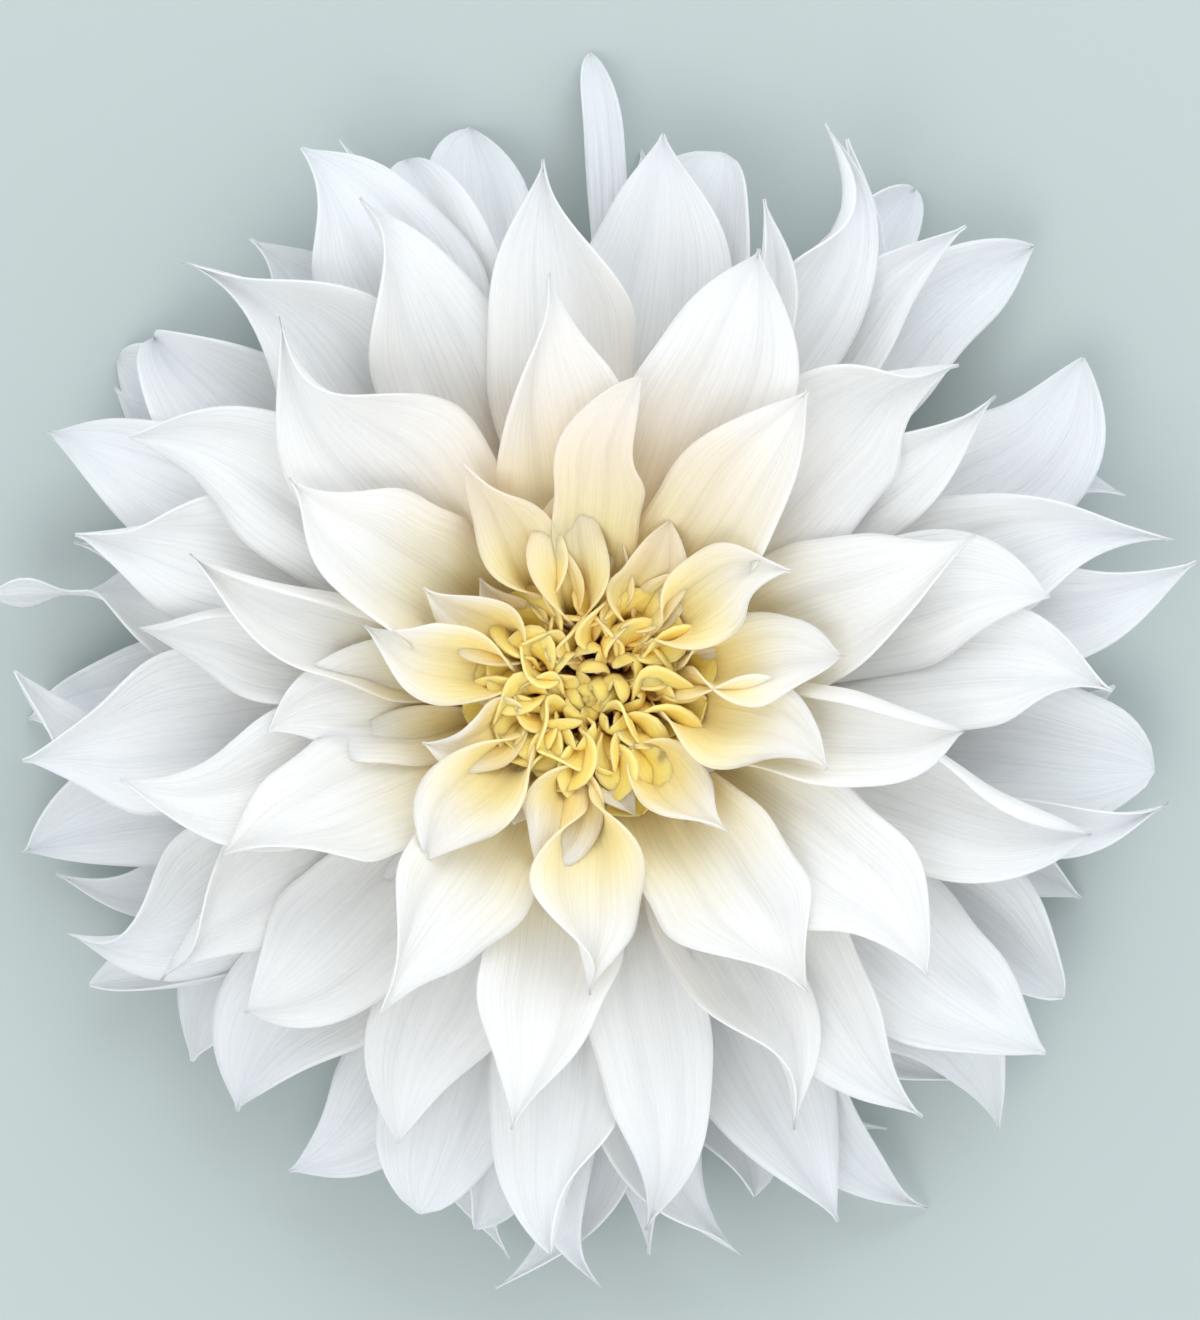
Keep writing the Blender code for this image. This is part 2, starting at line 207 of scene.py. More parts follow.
def gridMesh(name, grids, wrapped=False):
    # Quads between neighbouring points of each grid, with the grid's own place as the UV map. A wrapped
    # grid joins its last lane to its first.
    quads = []
    places = []
    offset = 0
    for points in grids:
        rows, lanes = points.shape[:2]
        index = np.arange(rows * lanes).reshape(rows, lanes) + offset
        after = np.roll(index, -1, axis=1) if wrapped else index[:, 1:]
        here = index if wrapped else index[:, :-1]
        quads.append(np.stack([here[:-1], here[1:], after[1:], after[:-1]], axis=-1).reshape(-1, 4))
        steps = np.arange(here.shape[1])
        v, u = np.meshgrid(np.arange(rows - 1), steps, indexing="ij")
        corners = np.stack([np.stack([u, v], -1), np.stack([u, v + 1], -1),
                            np.stack([u + 1, v + 1], -1), np.stack([u + 1, v], -1)], axis=2)
        places.append((corners / np.array([here.shape[1], rows - 1])).reshape(-1, 2))
        offset += rows * lanes
    quads = np.concatenate(quads)
    co = np.concatenate([points.reshape(-1, 3) for points in grids])
    mesh = bpy.data.meshes.new(name)
    mesh.vertices.add(len(co))
    mesh.vertices.foreach_set("co", co.astype(np.float32).ravel())
    mesh.loops.add(quads.size)
    mesh.loops.foreach_set("vertex_index", quads.astype(np.int32).ravel())
    mesh.polygons.add(len(quads))
    mesh.polygons.foreach_set("loop_start", np.arange(0, quads.size, 4, dtype=np.int32))
    mesh.polygons.foreach_set("use_smooth", np.ones(len(quads), dtype=bool))
    mesh.update(calc_edges=True)
    uv = mesh.uv_layers.new(name="blade")
    uv.data.foreach_set("uv", np.concatenate(places).astype(np.float32).ravel())
    return mesh


def addPiece(name, grids, surface, thickness, nodes=(), tones=None, wrapped=False):
    mesh = gridMesh(name, grids, wrapped)
    for tone, value in (tones or {}).items():
        layer = mesh.attributes.new(tone, "FLOAT", "POINT")
        layer.data.foreach_set("value", np.full(len(mesh.vertices), value, dtype=np.float32))
    mesh.materials.append(surface)
    made = bpy.data.objects.new(name, mesh)
    bpy.context.scene.collection.objects.link(made)
    if thickness:
        shell = made.modifiers.new("thickness", "SOLIDIFY")
        shell.thickness = thickness * mm
        shell.offset = 0.0
    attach(made, "root")
    if nodes:
        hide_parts(*nodes)
    return made


def node(tree, kind, **values):
    made = tree.nodes.new(kind)
    for key, value in values.items():
        if key.startswith("in_"):
            made.inputs[key[3:].replace("_", " ")].default_value = value
        else:
            setattr(made, key, value)
    return made


def mathNode(tree, operation, a, b=None):
    made = node(tree, "ShaderNodeMath", operation=operation)
    for place, value in enumerate((a, b)):
        if value is None:
            continue
        if isinstance(value, (int, float)):
            made.inputs[place].default_value = value
        else:
            tree.links.new(value, made.inputs[place])
    return made.outputs[0]


def times(tree, a, b):
    return mathNode(tree, "MULTIPLY", a, b)


def oneLess(tree, a):
    return mathNode(tree, "SUBTRACT", 1.0, a)


def mixColour(tree, share, a, b, blend="MIX"):
    made = node(tree, "ShaderNodeMix", data_type="RGBA", blend_type=blend)
    for place, value in ((0, share), (6, a), (7, b)):
        if isinstance(value, tuple):
            made.inputs[place].default_value = (*value, 1.0)
        elif isinstance(value, (int, float)):
            made.inputs[place].default_value = value
        else:
            tree.links.new(value, made.inputs[place])
    return made.outputs[2]


def ramp(tree, value, low, high):
    made = node(tree, "ShaderNodeMapRange", interpolation_type="SMOOTHSTEP", clamp=True)
    made.inputs["From Min"].default_value = low
    made.inputs["From Max"].default_value = high
    tree.links.new(value, made.inputs["Value"])
    return made.outputs["Result"]


def newFinish(name, roughness, subsurface, radius, sheen=0.0):
    made = bpy.data.materials.new(name)
    made.use_nodes = True
    shader = made.node_tree.nodes["Principled BSDF"]
    shader.inputs["Roughness"].default_value = roughness
    shader.inputs["Subsurface Weight"].default_value = subsurface
    shader.inputs["Subsurface Radius"].default_value = radius
    shader.inputs["Subsurface Scale"].default_value = 1.0
    shader.inputs["Specular IOR Level"].default_value = 0.3
    shader.inputs["Sheen Weight"].default_value = sheen
    return made, made.node_tree, shader


# Colours, then where each ring of colour begins and ends, in metres from the flower's axis, and where each
# fade does, as a share of the blade: along it from root to tip, or across it from midrib to margin.
# The blue-grey shade colour, the cool colour, the peach and the deep colour are painted light: shade in the
# furrows, cool shade at the outer tips, warm bounce light on one side of the flower, and shade in the throat
# over the root's own deeper orange.
petalFinish = {
    "white": (0.92, 0.91, 0.875), "coolShade": (0.88, 0.90, 0.93), "cream": (0.97, 0.86, 0.53),
    "gold": (1.0, 0.76, 0.25), "peachBounce": (0.96, 0.70, 0.42), "shade": (0.62, 0.68, 0.78),
    "deep": (0.86, 0.46, 0.06), "lip": (1.0, 0.86, 0.42), "vein": (0.74, 0.76, 0.74),
    "creamRing": (0.060, 0.024), "goldRing": (0.042, 0.013), "coolShadeRing": (0.066, 0.116),
    "peachBounceRing": (0.074, 0.030), "peachBounceTurn": (0.55, 0.98), "peachBounceShare": 0.85,
    "mottleScale": 40.0, "mottleShift": 0.016, "veinShare": 0.30, "veinNoise": (0.40, 0.68),
    "tipFade": (0.52, 0.90), "edgeFade": (0.7, 1.0), "rootShadeFade": (0.66, 0.30),
    "furrowShadeShare": 0.08, "furrowPlace": 0.34, "furrowWidth": (0.02, 0.16),
    "furrowRoot": (0.15, 0.5), "furrowTip": (0.98, 0.7),
    "fineLines": (62.0, 2.4), "broadLines": (13.0, 2.0),
    "fineBump": (0.50, 0.0005), "broadBump": (0.30, 0.0012),
    "roughness": 0.5, "subsurface": 0.6, "radius": (0.0032, 0.0029, 0.0025),
}


def makePetalFinish(name, look, pale, tipLoss, edgeLoss, rootShade):
    # Colour by distance from the flower's axis, shifted by noise: gold, then cream, then the pale colour,
    # which turns to a painted cool shade towards the outer tips; painted peach bounce light where y over the
    # distance is near 1. Gold and cream fade at the tip and at the margins by their losses, and darken
    # towards the root by a given share, the root's own deeper orange with painted shade of the throat. Veins
    # and pleats are noise drawn out along the blade, and painted blue-grey shade darkens two shallow furrows
    # beside the midrib.
    made, tree, shader = newFinish(name, look["roughness"], look["subsurface"], look["radius"], 0.15)
    place = node(tree, "ShaderNodeTexCoord")
    centred = node(tree, "ShaderNodeMapping", vector_type="POINT")
    centred.inputs["Location"].default_value = tuple(float(-v) for v in hubCentre)
    tree.links.new(place.outputs["Object"], centred.inputs["Vector"])
    parts = node(tree, "ShaderNodeSeparateXYZ")
    tree.links.new(centred.outputs["Vector"], parts.inputs[0])
    squareX = mathNode(tree, "POWER", mathNode(tree, "ABSOLUTE", parts.outputs[0]), 2.0)
    squareY = mathNode(tree, "POWER", mathNode(tree, "ABSOLUTE", parts.outputs[1]), 2.0)
    radius = mathNode(tree, "SQRT", mathNode(tree, "ADD", squareX, squareY))
    mottle = node(tree, "ShaderNodeTexNoise", in_Scale=look["mottleScale"], in_Detail=3.0)
    tree.links.new(place.outputs["Object"], mottle.inputs["Vector"])
    shift = times(tree, mathNode(tree, "SUBTRACT", mottle.outputs[0], 0.5), look["mottleShift"])
    far = mathNode(tree, "ADD", radius, shift)
    warm = node(tree, "ShaderNodeAttribute", attribute_name="warm")
    own = node(tree, "ShaderNodeAttribute", attribute_name="own")
    warmFar = mathNode(tree, "DIVIDE", far, mathNode(tree, "MAXIMUM", warm.outputs["Fac"], 0.05))
    cream = ramp(tree, warmFar, *look["creamRing"])
    gold = ramp(tree, warmFar, *look["goldRing"])
    # Painted shade: the pale colour turns cool blue-grey towards the outer tips.
    colour = mixColour(tree, ramp(tree, far, *look["coolShadeRing"]), look[pale], look["coolShade"])
    # Painted light: a warm peach bounce light on petals where y over the distance is near 1, on one side of
    # the flower only.
    north = mathNode(tree, "DIVIDE", parts.outputs[1], mathNode(tree, "MAXIMUM", radius, 0.001))
    peachBounce = times(tree, ramp(tree, far, *look["peachBounceRing"]), ramp(tree, north, *look["peachBounceTurn"]))
    colour = mixColour(tree, times(tree, peachBounce, look["peachBounceShare"]), colour, look["peachBounce"])

    bladeMap = node(tree, "ShaderNodeUVMap", uv_map="blade")
    blade = node(tree, "ShaderNodeSeparateXYZ")
    tree.links.new(bladeMap.outputs[0], blade.inputs[0])
    along = blade.outputs[1]
    across = times(tree, blade.outputs[0], 2.0)
    across = mathNode(tree, "ABSOLUTE", mathNode(tree, "SUBTRACT", across, 1.0))
    inside = oneLess(tree, times(tree, ramp(tree, along, *look["tipFade"]), tipLoss))
    inside = times(tree, inside, oneLess(tree, times(tree, ramp(tree, across, *look["edgeFade"]), edgeLoss)))
    colour = mixColour(tree, times(tree, cream, inside), colour, look["cream"])
    colour = mixColour(tree, times(tree, gold, inside), colour, look["gold"])
    # Painted shade: deeper orange towards the root, where the throat lies in shade, over the root's own
    # deeper gold.
    deep = times(tree, times(tree, ramp(tree, along, *look["rootShadeFade"]), cream), rootShade)
    colour = mixColour(tree, deep, colour, look["deep"])

    lines = []
    for scale in (look["fineLines"], look["broadLines"]):
        stretch = node(tree, "ShaderNodeMapping", vector_type="POINT")
        stretch.inputs["Scale"].default_value = (*scale, 1.0)
        tree.links.new(bladeMap.outputs[0], stretch.inputs["Vector"])
        noise = node(tree, "ShaderNodeTexNoise", in_Scale=1.0, in_Detail=3.0, in_Roughness=0.55,
                     noise_dimensions="4D")
        tree.links.new(stretch.outputs[0], noise.inputs["Vector"])
        tree.links.new(own.outputs["Fac"], noise.inputs["W"])
        lines.append(noise.outputs[0])
    vein = times(tree, ramp(tree, lines[0], *look["veinNoise"]), look["veinShare"])
    colour = mixColour(tree, vein, colour, look["vein"], "MULTIPLY")
    # Painted shade: blue-grey darkening along two furrows beside the midrib, where shade would fall in the
    # creases.
    beside = mathNode(tree, "ABSOLUTE", mathNode(tree, "SUBTRACT", across, look["furrowPlace"]))
    furrowShade = oneLess(tree, ramp(tree, beside, *look["furrowWidth"]))
    body = times(tree, ramp(tree, along, *look["furrowRoot"]), ramp(tree, along, *look["furrowTip"]))
    furrowShade = times(tree, times(tree, furrowShade, body), look["furrowShadeShare"])
    colour = mixColour(tree, furrowShade, colour, look["shade"], "MULTIPLY")
    tree.links.new(colour, shader.inputs["Base Color"])

    strength, distance = look["broadBump"]
    broad = node(tree, "ShaderNodeBump", in_Strength=strength, in_Distance=distance)
    tree.links.new(lines[1], broad.inputs["Height"])
    strength, distance = look["fineBump"]
    fine = node(tree, "ShaderNodeBump", in_Strength=strength, in_Distance=distance)
    tree.links.new(lines[0], fine.inputs["Height"])
    tree.links.new(broad.outputs[0], fine.inputs["Normal"])
    tree.links.new(fine.outputs[0], shader.inputs["Normal"])
    return made


# In the heart the deep colour is painted shade and warm bounce light in the gaps between florets, over their
# own deeper orange at the root.
heartFinish = {**petalFinish, "gold": (1.0, 0.71, 0.12), "cream": (1.0, 0.79, 0.25),
               "vein": (0.98, 0.86, 0.66), "deep": (0.95, 0.44, 0.06), "radius": (0.0024, 0.0022, 0.0016)}
petalWhite = makePetalFinish("petalFinish", petalFinish, "white", 0.85, 0.4, 0.18)
petalGold = makePetalFinish("heartFinish", heartFinish, "lip", 0.40, 0.50, 0.75)

greenFinish = {"bract": (0.23, 0.34, 0.10), "bractPale": (0.40, 0.50, 0.22), "stem": (0.16, 0.25, 0.07),
               "stemDark": (0.22, 0.15, 0.07), "crown": (0.80, 0.55, 0.20), "streaks": (0.38, 0.68),
               "crownRise": (-0.006, 0.002), "bump": (0.25, 0.0003)}


def makeGreenFinish(name, main, other, scale, roughness, crown=None):
    # Main colour streaked with the other by stretched noise, and a fine grain of bumps. Over the crown rise,
    # in metres above the hub's middle, it turns to the crown colour.
    made, tree, shader = newFinish(name, roughness, 0.08, (0.002, 0.003, 0.001))
    place = node(tree, "ShaderNodeTexCoord")
    stretch = node(tree, "ShaderNodeMapping", vector_type="POINT")
    stretch.inputs["Scale"].default_value = scale
    tree.links.new(place.outputs["Object"], stretch.inputs["Vector"])
    streaks = node(tree, "ShaderNodeTexNoise", in_Scale=1.0, in_Detail=4.0)
    tree.links.new(stretch.outputs[0], streaks.inputs["Vector"])
    share = ramp(tree, streaks.outputs[0], *greenFinish["streaks"])
    colour = mixColour(tree, share, main, other)
    if crown:
        height = node(tree, "ShaderNodeSeparateXYZ")
        tree.links.new(place.outputs["Object"], height.inputs[0])
        low, high = (float(hubCentre[2]) + rise for rise in greenFinish["crownRise"])
        top = ramp(tree, height.outputs[2], low, high)
        colour = mixColour(tree, top, colour, crown)
    tree.links.new(colour, shader.inputs["Base Color"])
    strength, distance = greenFinish["bump"]
    bump = node(tree, "ShaderNodeBump", in_Strength=strength, in_Distance=distance)
    tree.links.new(streaks.outputs[0], bump.inputs["Height"])
    tree.links.new(bump.outputs[0], shader.inputs["Normal"])
    return made


bractGreen = makeGreenFinish("bractFinish", greenFinish["bract"], greenFinish["bractPale"], (240, 240, 60),
                             0.55)
stemGreen = makeGreenFinish("stemFinish", greenFinish["stem"], greenFinish["stemDark"], (420, 420, 40), 0.5,
                            greenFinish["crown"])

# What every petal has unless its ring or its own row says otherwise: angles in degrees, lengths in mm.
plainPetal = {
    "seat": -9, "lift": None, "length": None, "rise": 9, "droop": -13, "bend": 1.0, "curl": 0, "sway": 1.5,
    "sweep": 0, "hook": 0, "lean": 0, "skew": 0, "scallop": 0.05, "pinch": 0, "waist": 0.58, "swell": 1.0,
    "full": 2.2, "point": 1.0, "rootCup": 90, "cup": 46, "tipCup": 60, "openFrom": 0.0, "openTo": 0.45,
    "keel": 0.5, "flare": 46, "flareFrom": 0.1, "flareTo": 0.5, "leftEdge": 0, "rightEdge": 0, "layFrom": 0,
    "waves": 1.6, "ruffle": 11, "phase": 0.0, "groove": 0.4, "twist": 0, "roll": None, "warm": 0.9,
}
# Rings from the back of the flower to the heart. Beyond layFrom, in mm, a petal has to clear those under it.
ringForms = {
    "outer": {"seat": -9, "rise": 9, "droop": -13, "layFrom": 78},
    "middle": {"layFrom": 62, "seat": 8, "rise": 22, "droop": -20, "cup": 54, "tipCup": 66, "flare": 54},
    "inner": {"layFrom": 46, "seat": 19, "rise": 28, "droop": -18, "cup": 64, "tipCup": 72, "rootCup": 120,
              "flare": 60, "warm": 1.0},
    "collar": {"rise": 36, "droop": -34, "bend": 1.3, "cup": 76, "tipCup": 70, "rootCup": 178,
               "openFrom": 0.34, "openTo": 0.80, "flare": 100, "flareFrom": 0.36, "flareTo": 0.66,
               "warm": 1.1, "swell": 0.5},
}
# How far chance moves each petal of a ring, drawn from -1 to 1: a middle value and a spread.
petalChance = {
    "seed": 7, "waves": (1.8, 0.6), "hook": 54, "lean": -0.20, "twist": 56, "curl": 34, "sway": 3, "sweep": 4,
    "point": (1.35, 0.3), "waist": (0.54, 0.05), "skew": 0.05, "ruffle": (18, 8), "tipCup": (10, 40),
    "full": (2.6, 0.5), "edge": 30,
}
# The longest collar petals stand at the lowest lift, and each mm shorter lifts them by the slope. A node is
# taken over by the petal whose tip is nearest to its own, within nearest, in mm.
collarStand = {"lift": 30, "longest": 57, "slope": 0.55}
nearest = 10
# Direction of the tip, reach of the tip from the axis and full width, then what is this petal's own.
petals = {
    "outer": [
        (57, 120, 25, {"full": 3.2, "point": 0.8, "hook": 8, "twist": 0, "cup": 60, "waist": 0.66}),
        (84.6, 109, 20, {}),
        (90, 128, 8.5, {"sweep": -3, "waist": 0.84, "swell": 3.2, "cup": 50, "full": 2.0, "point": 0.7,
                        "hook": -8, "twist": 0, "lean": 0, "leftEdge": 0, "rightEdge": 0}),
        (114.5, 121, 16, {"sweep": -6}), (145, 116, 30, {"full": 3.0, "point": 0.7, "hook": 0, "sweep": 3}),
        (164, 107, 26, {}), (183, 113, 24, {}), (199, 113, 18, {}),
        (246, 101, 32, {"full": 3.2, "point": 0.6, "hook": 0}), (262, 114, 30, {}),
        (288, 106, 28, {"full": 3.2, "point": 0.6, "hook": 0}), (304, 106, 20, {}), (315, 109, 20, {}),
        (337, 107, 22, {}), (0.5, 104, 22, {}), (25, 113, 24, {}), (238, 112, 24, {"keel": 0.8}),
        (127, 112, 30, {"hook": -20, "full": 3.0}), (156, 114, 26, {}), (276, 113, 24, {}),
        (20, 113, 24, {"sweep": 3}), (352, 113, 34, {"full": 3.4, "point": 0.62, "hook": 0, "twist": 0}),
        (45, 125, 24, {"full": 2.6, "point": 1.0, "waist": 0.72, "sweep": -3, "hook": 24, "twist": 24,
                       "lean": 0.12, "curl": -10}),
        (65, 119, 22, {"hook": -50, "lean": 0.2, "leftEdge": 60, "twist": -20, "curl": 30}),
        (102, 115.5, 26, {"point": 1.1, "hook": 6, "twist": 0}),
        (171, 119, 25, {"leftEdge": 0, "rightEdge": 0, "twist": 150, "point": 0.8, "full": 3.0, "waist": 0.5,
                        "hook": -20, "pinch": 0.85, "curl": 20}),
        (196, 118, 28, {"sweep": 2}), (223, 108, 32, {"full": 3.2}),
        (261, 119.5, 20, {"sweep": 4, "hook": 60, "twist": 40}),
        (258, 108, 24, {"full": 3.2, "point": 0.62, "hook": 0}),
        (109, 111, 26, {"full": 3.0, "point": 0.7, "hook": 0, "twist": 0}), (147.5, 112, 15, {"hook": 20}),
        (271, 118, 24, {"hook": -34, "twist": 30, "waist": 0.46}),
        (285, 115, 26, {"sweep": 4, "hook": -54, "twist": -30}),
        (303, 124, 20, {"sweep": -4, "hook": -30, "twist": -24, "waist": 0.44}),
        (327, 111.5, 28, {"full": 3.2, "point": 0.65, "hook": 10, "rightEdge": 60}), (10.5, 110, 22, {}),
        (118, 120, 33, {"hook": -30, "twist": 40, "lean": 0.1}),
        (141, 111, 34, {"full": 3.4, "point": 0.8, "hook": 8}),
        (178, 112, 20, {"hook": 70, "twist": 50, "curl": 46, "full": 3.0, "point": 1.0}),
        (210.5, 115, 30, {"cup": 78, "flare": 8, "tipCup": 40, "point": 0.8}),
        (252, 107, 30, {"full": 3.2, "point": 0.62, "hook": 0}), (295, 115, 28, {}), (313, 119, 30, {}),
        (34, 118, 32, {"full": 3.0, "point": 0.85, "hook": -44, "twist": 10, "curl": 10, "lean": -0.1,
                       "leftEdge": 0}),
        (12, 121, 26, {"point": 1.3}),
        (76, 109, 34, {"full": 3.4, "point": 0.62, "cup": 30, "tipCup": 30, "flare": 10, "hook": 0,
                       "twist": 0, "curl": 0, "leftEdge": 0, "rightEdge": 0}),
        (154.5, 118, 28, {}), (266, 108, 28, {"full": 3.0, "point": 0.75, "hook": 0}), (321.5, 113, 32, {}),
        (349, 116, 17, {"rise": 16, "droop": 2, "cup": 84, "flare": 20, "sweep": -7, "hook": -30,
                        "waist": 0.66}),
        (51, 116, 24, {"cup": 84, "keel": 0.9, "hook": 20, "twist": 0}),
        (133.5, 114.5, 34, {"hook": -40, "keel": 0.9, "tipCup": 90}), (187, 111, 34, {}), (205, 113, 32, {}),
        (230, 108, 32, {}),
        (67.5, 118.5, 22, {"sweep": 3, "hook": -60, "twist": 44, "curl": 26, "leftEdge": 70, "lean": 0.2}),
        (82.5, 110, 37, {"full": 2.2, "point": 1.05, "hook": -6, "twist": 0, "waist": 0.5, "tipCup": 80,
                         "lean": 0}),
        (14.5, 117, 30, {}),
    ],
    "middle": [
        (70.5, 100, 21, {"cup": 76, "leftEdge": 90, "hook": -30, "ruffle": 26}),
        (115, 105, 30, {"keel": 0.8}), (163, 103, 32, {}), (95, 103, 30, {}),
        (344, 101, 31, {"leftEdge": 110, "flare": 20, "hook": -20}), (276, 105, 24, {"keel": 0.7}),
        (308, 104, 30, {}), (214, 100, 28, {"keel": 0.8}), (0, 100, 30, {"full": 3.0}), (247, 95, 28, {}),
        (151, 99, 30, {}), (36, 97, 22, {"twist": 20}), (295, 92, 24, {"keel": 0.7}), (129.5, 90.5, 36, {}),
        (41.5, 94, 32, {}), (69, 90, 32, {}), (172, 87, 28, {"rightEdge": 90, "flare": 20}),
        (190.6, 90.5, 30, {}), (223, 91, 30, {}), (11.6, 90, 28, {}),
    ],
    "inner": [
        (161, 80, 26, {"rightEdge": 90, "flare": 20}), (260, 84, 28, {}), (320, 83, 30, {}), (22, 79, 30, {}),
        (95.5, 79, 28, {}), (204, 76, 28, {}), (354, 71, 28, {"leftEdge": 100, "flare": 20}),
        (237, 72, 28, {}), (144.5, 69, 30, {}), (54, 70, 26, {}), (306, 70, 30, {}), (80.5, 60, 18, {}),
        (187, 61, 26, {"lift": 24}),
    ],
    "collar": [
        (270, 57, 26, {"lift": 30}), (119, 49, 18, {"hook": -20}), (108, 34, 11, {"lift": 42}),
        (79, 33, 11, {"lift": 42}), (48, 34, 11, {"lift": 42}), (342, 47, 24, {}), (8, 48, 22, {}),
        (226, 45, 22, {}), (163.5, 44, 20, {}), (31, 44, 20, {}),
        (96, 39, 18, {"curl": -20, "twist": 0, "hook": 14}), (65, 36, 17, {"twist": 20, "leftEdge": 40}),
        (315, 37, 18, {}), (148, 37, 16, {}), (254, 35, 18, {}), (197, 33, 15, {}),
        (290, 25, 12, {"lift": 48}), (240, 29, 11, {"lift": 42}), (178, 28, 11, {"lift": 42}),
        (20, 30, 12, {"lift": 42}), (134, 30, 11, {"lift": 42}), (333, 29, 12, {"lift": 42}),
    ],
}


def nodeTips():
    # Tip direction and reach of each petal node: its vertex that is furthest from the flower's axis.
    tips = {}
    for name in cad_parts:
        if "_petal_" not in name:
            continue
        mesh = bpy.data.objects[name].data
        points = np.empty(len(mesh.vertices) * 3, dtype=np.float32)
        mesh.vertices.foreach_get("co", points)
        points = points.reshape(-1, 3)[:, :2] - hubCentre[:2]
        tips[name] = points[np.argmax(np.hypot(points[:, 0], points[:, 1]))]
    return tips


def chancePetal(ring, azimuth, reach, width, wild, own):
    # The plain petal, then its ring, then chance, then what is its own.
    chance = petalChance
    p = {**plainPetal, **ringForms[ring], "azimuth": azimuth, "reach": reach, "width": width}
    tipCup = p["tipCup"] + chance["tipCup"][0] + chance["tipCup"][1] * wild[5]
    p.update({"phase": float(wild[0]), "waves": chance["waves"][0] + chance["waves"][1] * wild[1],
              "hook": chance["hook"] * wild[2], "lean": chance["lean"] * wild[2],
              "twist": chance["twist"] * wild[3], "curl": chance["curl"] * wild[4], "sway": chance["sway"],
              "sweep": chance["sweep"] * wild[7], "point": chance["point"][0] + chance["point"][1] * wild[5],
              "waist": chance["waist"][0] + chance["waist"][1] * wild[6], "skew": chance["skew"] * wild[1],
              "ruffle": chance["ruffle"][0] + chance["ruffle"][1] * wild[0], "tipCup": tipCup,
              "full": chance["full"][0] + chance["full"][1] * wild[6],
              "leftEdge": chance["edge"] * wild[7], "rightEdge": -chance["edge"] * wild[7], **own})
    if ring == "collar" and p["lift"] is None:
        p["lift"] = collarStand["lift"] + collarStand["slope"] * (collarStand["longest"] - reach)
    return p


def growPetals():
    free = nodeTips()
    seed = np.random.default_rng(petalChance["seed"])
    count = 0
    for ring, rows in petals.items():
        for number, (azimuth, reach, width, own) in enumerate(rows, start=1):
            p = chancePetal(ring, azimuth, reach, width, seed.random(8) * 2 - 1, own)
            lift, roll = lay(p)
            points = petalSurface(p, lift, roll, petalMake["rows"], petalMake["lanes"]) + hubCentre
            turn = math.radians(azimuth)
            tip = np.array([math.cos(turn), math.sin(turn)]) * reach * mm
            near = [n for n in free if np.linalg.norm(free[n] - tip) < nearest * mm]
            chosen = sorted(near, key=lambda n: np.linalg.norm(free[n] - tip))[:1]
            tones = {"warm": p["warm"], "own": petalMake["ownStep"] * count}
            addPiece(f"{ring}Floret{number:02d}", [points], petalWhite, petalMake["thickness"],
                     chosen, tones)
            for name in chosen:
                del free[name]
            count += 1
        print(ring, "petals:", len(rows))
    print("petals:", count, "nodes without a petal:", sorted(free))


growPetals()

# Young florets packed in a turning spiral: the outer ones are open scoops that lean out, the inner ones
# closed buds that bend over a sunken middle. Lifts and angles in degrees, lengths in mm.
heartMake = {"seed": 23, "count": 46, "turn": 137.508, "rows": 30, "lanes": 21, "thickness": 0.55,
             "outerLift": 42.0, "innerLift": 88.0, "warm": 2.0, "own": 500.0}


def heartFloret(number, seed):
    # share runs from 0 at the middle of the heart to 1 at its rim; scoop from 0 for a bud to 1 for a scoop.
    share = ((number + 0.5) / heartMake["count"]) ** 0.5
    wild = seed.random(9) * 2 - 1
    scoop = float(smooth(0.50, 0.82, share + 0.12 * wild[8]))
    p = {**plainPetal, "azimuth": number * heartMake["turn"] + 6 * wild[0], "reach": 0,
         "length": 11.5 + 11.0 * share ** 1.2 + 1.6 * wild[1],
         "width": 10.5 + 4.0 * share + 8.0 * scoop + 1.4 * wild[2],
         "lift": heartMake["innerLift"] + (heartMake["outerLift"] - heartMake["innerLift"]) * share,
         "rise": 2 + 26 * share + 5 * wild[3],
         "droop": 60 - 84 * share + 12 * wild[4],
         "bend": 1.5, "curl": 44 - 78 * scoop + 14 * wild[5], "sway": 3, "hook": (30 - 14 * scoop) * wild[6],
         "twist": (30 - 14 * scoop) * wild[7],
         "rootCup": 160, "cup": 116 + 10 * scoop, "tipCup": 128 - 64 * scoop, "roll": 26 * wild[3],
         "openFrom": 0.30, "openTo": 0.80, "flare": 92 * scoop, "flareFrom": 0.55, "flareTo": 0.9,
         "ruffle": 8 + 16 * scoop, "groove": 0.1, "waist": 0.68, "swell": 0.7, "full": 3.2 - 0.6 * scoop,
         "point": 0.6 + 0.4 * scoop, "keel": 0.3 * scoop, "phase": float(seed.random()), "waves": 1.8}
    return p


def makeHeart():
    seed = np.random.default_rng(heartMake["seed"])
    grids = []
    for number in range(heartMake["count"]):
        p = heartFloret(number, seed)
        grids.append(petalSurface(p, math.radians(p["lift"]), math.radians(p["roll"]), heartMake["rows"],
                                  heartMake["lanes"]) + hubCentre)
    addPiece("heartFlorets", grids, petalGold, heartMake["thickness"], ["heart_florets"],
             {"warm": heartMake["warm"], "own": heartMake["own"]})
    print("heart of", heartMake["count"], "florets")


makeHeart()

# The green back: five bracts, the lobed cup over them, and the stem. Angles in degrees, lengths in mm.
backMake = {"bractCount": 5, "firstBract": 20, "phaseStep": 0.23, "bractThickness": 0.7,
            "cupThickness": 0.5, "cupLobes": 8, "cupSeat": -38, "cupSlope": -14, "cupReach": 33,
            "cupLobeDepth": 6, "stemRadius": 4.6, "underside": -52, "neck": 4.0}
bractForm = {"lift": -48, "rise": 28, "droop": 14, "cup": 30, "tipCup": 20, "rootCup": 50, "waist": 0.5,
             "width": 11, "reach": 33, "full": 2.0, "point": 0.9, "flare": 6, "ruffle": 5, "groove": 0.2,
             "keel": 0.2}


